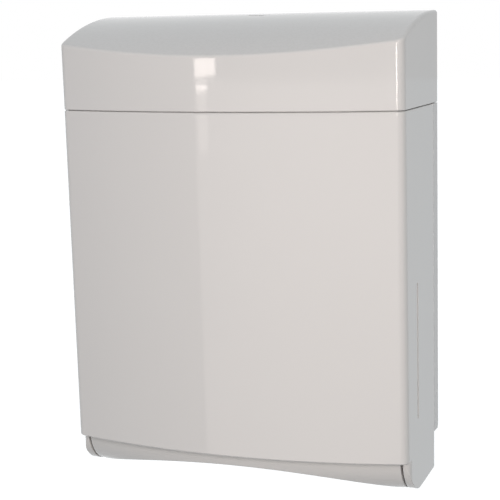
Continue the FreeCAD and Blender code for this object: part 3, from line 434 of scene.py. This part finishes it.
class FinishInnerPlastics(bpy.types.Operator):
    """Gives the guides, bushes, lever and buffers their plastics and rubber"""

    bl_idname = "dispenser.finish_inner_plastics"
    bl_label = "Guides, bushes, lever, buffers"

    def execute(self, context):
        settings = context.scene.dispenser_inner
        guide = moulded_plastic(
            "guide_plastic", settings.guide_colour, roughness=0.42, ripple=0.02 * MM, ripple_scale=90.0,
            grain_share=0.5, tone_change=0.05, dust=0.2, edge_radius=0.25 * MM,
        )
        bush = moulded_plastic(
            "bush_acetal", settings.bush_colour, roughness=0.36, ripple=0.01 * MM, ripple_scale=160.0,
            grain_share=0.4, tone_change=0.04, dust=0.0, edge_radius=0.2 * MM,
        )
        lever = moulded_plastic(
            "lever_acetal", settings.lever_colour, roughness=0.33, ripple=0.012 * MM, ripple_scale=140.0,
            grain_share=0.4, tone_change=0.2, dust=0.12, edge_radius=0.25 * MM,
        )
        finish_nodes(GUIDE_NODES, guide)
        finish_nodes(BUSH_NODES, bush)
        finish_nodes(("latch_lever",), lever)
        finish_nodes(("tray_buffers",), rubber("buffer_rubber", settings.rubber_colour))
        return {"FINISHED"}


class FinishMetals(bpy.types.Operator):
    """Gives the bracket, catch plate, pins, clips, screws and spring their steels"""

    bl_idname = "dispenser.finish_metals"
    bl_label = "Steel parts"

    def execute(self, context):
        settings = context.scene.dispenser_metal
        sheet = plated_metal("zinc_sheet", settings.zinc_colour, 0.34, (1.0, 0.08, 1.0), 0.28, 0.15 * MM)
        pin = plated_metal("ground_pin", settings.pin_colour, 0.20, (1.0, 0.15, 0.15), 0.05, 0.1 * MM)
        screw = plated_metal("zinc_screw", settings.zinc_colour, 0.30, (1.0, 1.0, 1.0), 0.25, 0.1 * MM)
        spring = plated_metal("spring_wire", settings.spring_colour, 0.26, (0.3, 0.3, 1.0), 0.12, 0.05 * MM)
        finish_nodes(SHEET_NODES, sheet)
        finish_nodes(PIN_NODES, pin)
        finish_nodes(SCREW_NODES, screw)
        finish_nodes(("latch_spring",) + CLIP_NODES, spring)
        return {"FINISHED"}


# ---------------------------------------------------------------- studio

CAMERA_PLACE = Vector((0.419775, -1.117783, 0.187827))
CAMERA_YAW = 0.375770
CAMERA_PITCH = 0.163650
CAMERA_ROLL = -0.024044
CAMERA_LENS = 104.359
SENSOR_WIDTH = 36.0
WARM_WHITE = (1.0, 0.902, 0.846)
SOFT_WHITE = (1.0, 0.95, 1.0)
COOL_FILL = (0.89, 0.99, 1.055, 1.0)
WHITE = (1.0, 1.0, 1.0, 1.0)
HOOD_FRONT = (-0.003, -0.117, 0.150)
LAMPS = (   # name, setting of its power, place, target, width, height, colour, seen in reflections
    ("key_lamp", "key_power", (0.45, -0.95, 0.215), (0.0, -0.08, 0.0), 0.22, 0.41, WARM_WHITE, True),
    ("tall_panel", "panel_power", (0.04, -1.45, -0.330), (0.04, 0.0, -0.330), 1.50, 0.730, WARM_WHITE, True),
    ("soft_light", "soft_power", (-0.40, -1.15, 0.75), (0.0, -0.1, 0.0), 0.60, 0.60, SOFT_WHITE, False),
    ("window_light", "window_power", (-0.603, -1.40, 0.0625), HOOD_FRONT, 0.130, 0.038, WARM_WHITE, True),
    ("window_sill", "sill_power", (-0.631, -1.40, 0.0218), HOOD_FRONT, 0.071, 0.008, WARM_WHITE, True),
    ("window_glow", "glow_power", (-0.636, -1.41, -0.022), HOOD_FRONT, 0.059, 0.135, WARM_WHITE, True),
)
FLOOR_WIDTH = 60.0
FLOOR_ROUGHNESS = 0.9
FLOOR_MOTTLE_SCALE = 3.0
FLOOR_DARKEST, FLOOR_LIGHTEST = 0.48, 0.52
FLOOR_GLOW = 0.90               # brings the floor up to the backdrop for sharp rays


def camera_rotation():
    """Looks along yaw and pitch, then rolls about the line of sight."""
    forward = Vector((
        -math.sin(CAMERA_YAW) * math.cos(CAMERA_PITCH),
        math.cos(CAMERA_YAW) * math.cos(CAMERA_PITCH),
        -math.sin(CAMERA_PITCH),
    ))
    level_right = Vector((math.cos(CAMERA_YAW), math.sin(CAMERA_YAW), 0.0))
    level_up = level_right.cross(forward)
    right = math.cos(CAMERA_ROLL) * level_right + math.sin(CAMERA_ROLL) * level_up
    up = -math.sin(CAMERA_ROLL) * level_right + math.cos(CAMERA_ROLL) * level_up
    return Matrix((right, up, -forward)).transposed().to_4x4()


def add_camera():
    data = bpy.data.cameras.new("camera")
    data.lens = CAMERA_LENS
    data.sensor_width = SENSOR_WIDTH
    data.clip_start = 0.05
    camera = bpy.data.objects.new("camera", data)
    camera.matrix_world = Matrix.Translation(CAMERA_PLACE) @ camera_rotation()
    bpy.context.scene.collection.objects.link(camera)
    bpy.context.scene.camera = camera


def add_lamp(name, power, place, target, width, height, colour, mirrored):
    data = bpy.data.lights.new(name, "AREA")
    data.shape = "RECTANGLE"
    data.size = width
    data.size_y = height
    data.energy = power
    data.color = colour
    lamp = bpy.data.objects.new(name, data)
    lamp.visible_glossy = mirrored
    lamp.location = place
    lamp.rotation_mode = "QUATERNION"
    lamp.rotation_quaternion = (Vector(target) - Vector(place)).to_track_quat("-Z", "Y")
    bpy.context.scene.collection.objects.link(lamp)


def seen_directly(tree):
    """1 for camera, glossy and transmission rays, otherwise 0."""
    path = tree.nodes.new("ShaderNodeLightPath")
    sharp = math_node(tree, "MAXIMUM", path.outputs["Is Glossy Ray"], path.outputs["Is Transmission Ray"])
    return math_node(tree, "MAXIMUM", path.outputs["Is Camera Ray"], sharp)


def white_world(fill):
    world = bpy.data.worlds.new("even_white")
    world.use_nodes = True
    bpy.context.scene.world = world
    tree = world.node_tree
    background = tree.nodes["Background"]
    seen = seen_directly(tree)
    tree.links.new(mix_colour(tree, seen, COOL_FILL, WHITE), background.inputs["Color"])
    tree.links.new(math_node(tree, "MAXIMUM", seen, fill), background.inputs["Strength"])


def pale_floor(height):
    """A wide level sheet whose own light for sharp rays brings it up to the white backdrop."""
    bpy.ops.object.select_all(action="DESELECT")
    bpy.ops.mesh.primitive_plane_add(size=FLOOR_WIDTH, location=(0.0, 0.0, height))
    floor = bpy.context.object
    floor.name = "floor"
    material, tree, shader = new_material("floor_paper")
    shader.inputs["Roughness"].default_value = FLOOR_ROUGHNESS
    shader.inputs["Specular IOR Level"].default_value = 0.0
    clouds = noise_at(tree, object_place(tree), FLOOR_MOTTLE_SCALE)
    mottle = remap(tree, clouds, 0.3, 0.7, FLOOR_DARKEST, FLOOR_LIGHTEST)
    tree.links.new(grey(tree, mottle), shader.inputs["Base Color"])
    shader.inputs["Emission Color"].default_value = WHITE
    glow = math_node(tree, "MULTIPLY", seen_directly(tree), FLOOR_GLOW)
    tree.links.new(glow, shader.inputs["Emission Strength"])
    floor.data.materials.append(material)
    floor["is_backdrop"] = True


class BuildStudio(bpy.types.Operator):
    """Adds the floor, the even white surroundings, the lamps and the camera"""

    bl_idname = "dispenser.build_studio"
    bl_label = "Studio"

    def execute(self, context):
        settings = context.scene.dispenser_studio
        low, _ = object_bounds()
        view = context.scene.view_settings
        view.view_transform = "Standard"
        white_world(settings.world_fill)
        pale_floor(low.z - settings.floor_drop)
        for name, power, *rest in LAMPS:
            add_lamp(name, getattr(settings, power), *rest)
        add_camera()
        return {"FINISHED"}


class DispenserPanel(bpy.types.Panel):
    """Sizes and colours of the dispenser's looks"""

    bl_idname = "VIEW3D_PT_dispenser"
    bl_label = "Towel dispenser"
    bl_space_type = "VIEW_3D"
    bl_region_type = "UI"
    bl_category = "Dispenser"

    def draw(self, context):
        for operator, group in STEPS:
            box = self.layout.box()
            box.operator(operator.bl_idname)
            if group:
                settings = getattr(context.scene, group)
                for name in settings.__annotations__:
                    box.prop(settings, name)


SETTING_GROUPS = {
    "dispenser_case": CaseSettings,
    "dispenser_inner": InnerSettings,
    "dispenser_metal": MetalSettings,
    "dispenser_studio": StudioSettings,
}
STEPS = (
    (FinishCase, "dispenser_case"),
    (FinishInnerPlastics, "dispenser_inner"),
    (FinishMetals, "dispenser_metal"),
    (BuildStudio, "dispenser_studio"),
)


def register():
    for name, group in SETTING_GROUPS.items():
        bpy.utils.register_class(group)
        setattr(bpy.types.Scene, name, bpy.props.PointerProperty(type=group))
    for operator, _ in STEPS:
        bpy.utils.register_class(operator)
    bpy.utils.register_class(DispenserPanel)


def unregister():
    bpy.utils.unregister_class(DispenserPanel)
    for operator, _ in reversed(STEPS):
        bpy.utils.unregister_class(operator)
    for name, group in reversed(SETTING_GROUPS.items()):
        delattr(bpy.types.Scene, name)
        bpy.utils.unregister_class(group)


def main():
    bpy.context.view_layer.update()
    register()
    bpy.ops.dispenser.finish_case()
    bpy.ops.dispenser.finish_inner_plastics()
    bpy.ops.dispenser.finish_metals()
    bpy.ops.dispenser.build_studio()


if __name__ == "__main__":
    main()
